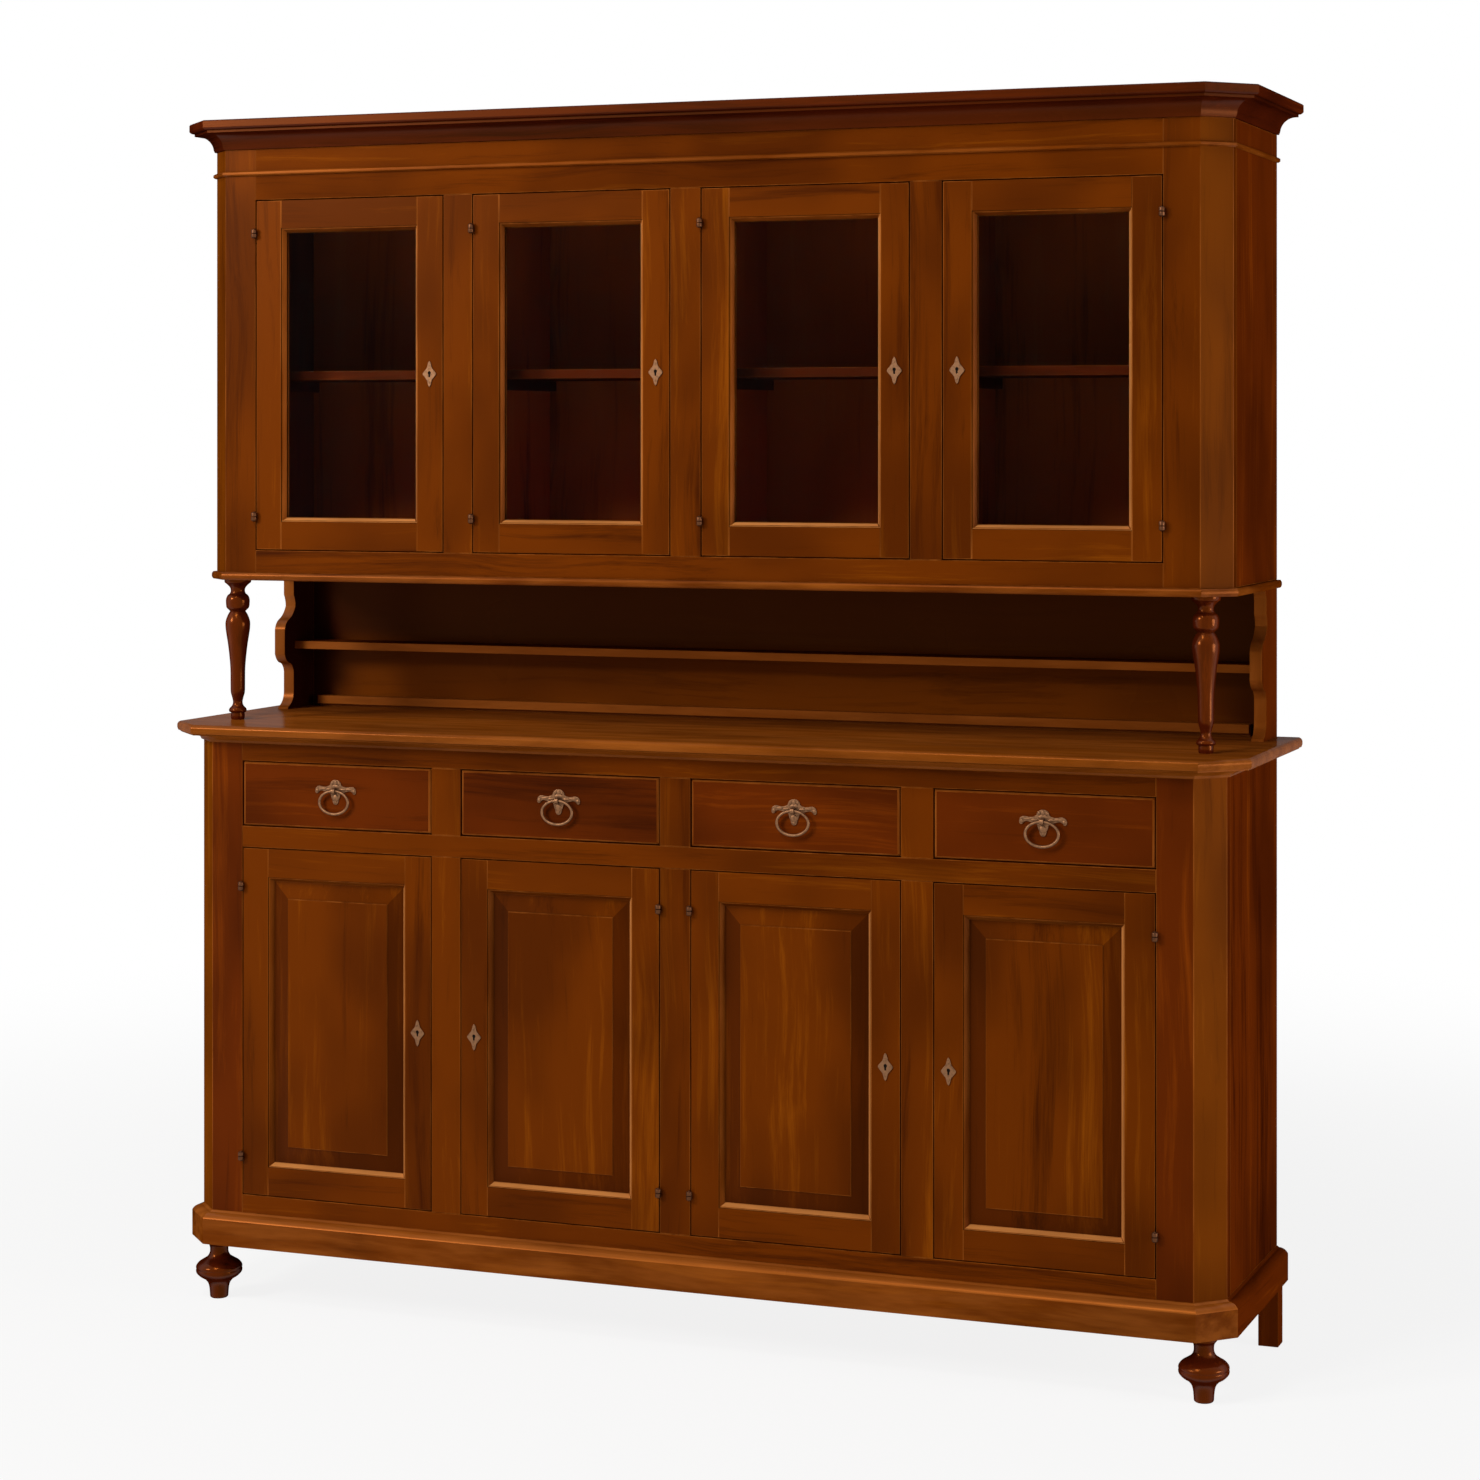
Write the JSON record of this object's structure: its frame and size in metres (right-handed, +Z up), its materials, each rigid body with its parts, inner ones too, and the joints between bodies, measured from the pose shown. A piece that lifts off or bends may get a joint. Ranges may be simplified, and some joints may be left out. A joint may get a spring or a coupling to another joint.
{
  "type": "dresser with hutch",
  "caption": "Wide wooden dresser with canted corners: panelled cupboards and drawers below, an open stage on turned columns, and a glazed upper case with moulded cornice.",
  "frame": {"origin": "on the floor, below the centre of the overall box", "axes": "+Z up, +X to the right as seen by the person in front, -Y towards that person"},
  "size_m": [2.056, 0.476, 2.2],
  "materials": {
    "wood": "polished",
    "wood_inner": "satin",
    "brass": "aged",
    "bronze": "dark aged",
    "glass": "clear"
  },
  "bodies": {
    "carcass": {"front_feet": "wood", "rear_feet": "wood", "plinth": "wood", "base_corner_posts": "wood", "base_sides": "wood", "base_face_frame": "wood", "worktop": "wood", "columns": "wood", "scroll_brackets": "wood", "open_shelf": "wood", "hutch_lip": "wood", "hutch_corner_posts": "wood", "hutch_sides": "wood", "hutch_face_frame": "wood", "cornice": "wood", "frieze_bead": "wood", "base_partitions": "wood_inner", "base_boards": "wood_inner", "drawer_runners": "wood_inner", "base_shelves": "wood_inner", "base_back": "wood_inner", "hutch_boards": "wood_inner", "hutch_partitions": "wood_inner", "hutch_shelves": "wood_inner", "back_panels": "wood_inner", "hinge_rests": "bronze"},
    "cupboard_door_1": {"cupboard_door_1_woodwork": "wood", "cupboard_door_1_fittings": "brass"},
    "cupboard_door_2": {"cupboard_door_2_woodwork": "wood", "cupboard_door_2_fittings": "brass"},
    "cupboard_door_3": {"cupboard_door_3_woodwork": "wood", "cupboard_door_3_fittings": "brass"},
    "cupboard_door_4": {"cupboard_door_4_woodwork": "wood", "cupboard_door_4_fittings": "brass"},
    "glazed_door_1": {"glazed_door_1_woodwork": "wood", "glazed_door_1_glass": "glass", "glazed_door_1_fittings": "brass"},
    "glazed_door_2": {"glazed_door_2_woodwork": "wood", "glazed_door_2_glass": "glass", "glazed_door_2_fittings": "brass"},
    "glazed_door_3": {"glazed_door_3_woodwork": "wood", "glazed_door_3_glass": "glass", "glazed_door_3_fittings": "brass"},
    "glazed_door_4": {"glazed_door_4_woodwork": "wood", "glazed_door_4_glass": "glass", "glazed_door_4_fittings": "brass"},
    "drawer_1": {"drawer_1_box": "wood", "drawer_1_plate": "brass"},
    "drawer_1_pull": {"drawer_1_ring": "brass"},
    "drawer_2": {"drawer_2_box": "wood", "drawer_2_plate": "brass"},
    "drawer_2_pull": {"drawer_2_ring": "brass"},
    "drawer_3": {"drawer_3_box": "wood", "drawer_3_plate": "brass"},
    "drawer_3_pull": {"drawer_3_ring": "brass"},
    "drawer_4": {"drawer_4_box": "wood", "drawer_4_plate": "brass"},
    "drawer_4_pull": {"drawer_4_ring": "brass"}
  },
  "joints": [
    {"name": "cupboard_door_1_hinge", "type": "hinge", "parent": "carcass", "child": "cupboard_door_1", "pos_m": [-0.869, -0.198, 0.528], "axis": [0, 0, -1], "range_deg": [0, 110]},
    {"name": "cupboard_door_2_hinge", "type": "hinge", "parent": "carcass", "child": "cupboard_door_2", "pos_m": [-0.03, -0.198, 0.528], "axis": [0, 0, 1], "range_deg": [0, 93]},
    {"name": "cupboard_door_3_hinge", "type": "hinge", "parent": "carcass", "child": "cupboard_door_3", "pos_m": [0.03, -0.198, 0.528], "axis": [0, 0, -1], "range_deg": [0, 93]},
    {"name": "cupboard_door_4_hinge", "type": "hinge", "parent": "carcass", "child": "cupboard_door_4", "pos_m": [0.869, -0.198, 0.528], "axis": [0, 0, 1], "range_deg": [0, 110]},
    {"name": "glazed_door_1_hinge", "type": "hinge", "parent": "carcass", "child": "glazed_door_1", "pos_m": [-0.869, -0.151, 1.725], "axis": [0, 0, -1], "range_deg": [0, 110]},
    {"name": "glazed_door_2_hinge", "type": "hinge", "parent": "carcass", "child": "glazed_door_2", "pos_m": [-0.4195, -0.151, 1.725], "axis": [0, 0, -1], "range_deg": [0, 110]},
    {"name": "glazed_door_3_hinge", "type": "hinge", "parent": "carcass", "child": "glazed_door_3", "pos_m": [0.03, -0.151, 1.725], "axis": [0, 0, -1], "range_deg": [0, 110]},
    {"name": "glazed_door_4_hinge", "type": "hinge", "parent": "carcass", "child": "glazed_door_4", "pos_m": [0.869, -0.151, 1.725], "axis": [0, 0, 1], "range_deg": [0, 110]},
    {"name": "drawer_1_slide", "type": "slide", "parent": "carcass", "child": "drawer_1", "axis": [0, -1, 0], "range_m": [0, 0.3]},
    {"name": "drawer_1_ring_hinge", "type": "hinge", "parent": "drawer_1", "child": "drawer_1_pull", "pos_m": [-0.67425, -0.2005, 0.9615], "axis": [-1, 0, 0], "range_deg": [0, 95]},
    {"name": "drawer_2_slide", "type": "slide", "parent": "carcass", "child": "drawer_2", "axis": [0, -1, 0], "range_m": [0, 0.3]},
    {"name": "drawer_2_ring_hinge", "type": "hinge", "parent": "drawer_2", "child": "drawer_2_pull", "pos_m": [-0.22475, -0.2005, 0.9615], "axis": [-1, 0, 0], "range_deg": [0, 95]},
    {"name": "drawer_3_slide", "type": "slide", "parent": "carcass", "child": "drawer_3", "axis": [0, -1, 0], "range_m": [0, 0.3]},
    {"name": "drawer_3_ring_hinge", "type": "hinge", "parent": "drawer_3", "child": "drawer_3_pull", "pos_m": [0.22475, -0.2005, 0.9615], "axis": [-1, 0, 0], "range_deg": [0, 95]},
    {"name": "drawer_4_slide", "type": "slide", "parent": "carcass", "child": "drawer_4", "axis": [0, -1, 0], "range_m": [0, 0.3]},
    {"name": "drawer_4_ring_hinge", "type": "hinge", "parent": "drawer_4", "child": "drawer_4_pull", "pos_m": [0.67425, -0.2005, 0.9615], "axis": [-1, 0, 0], "range_deg": [0, 95]}
  ]
}
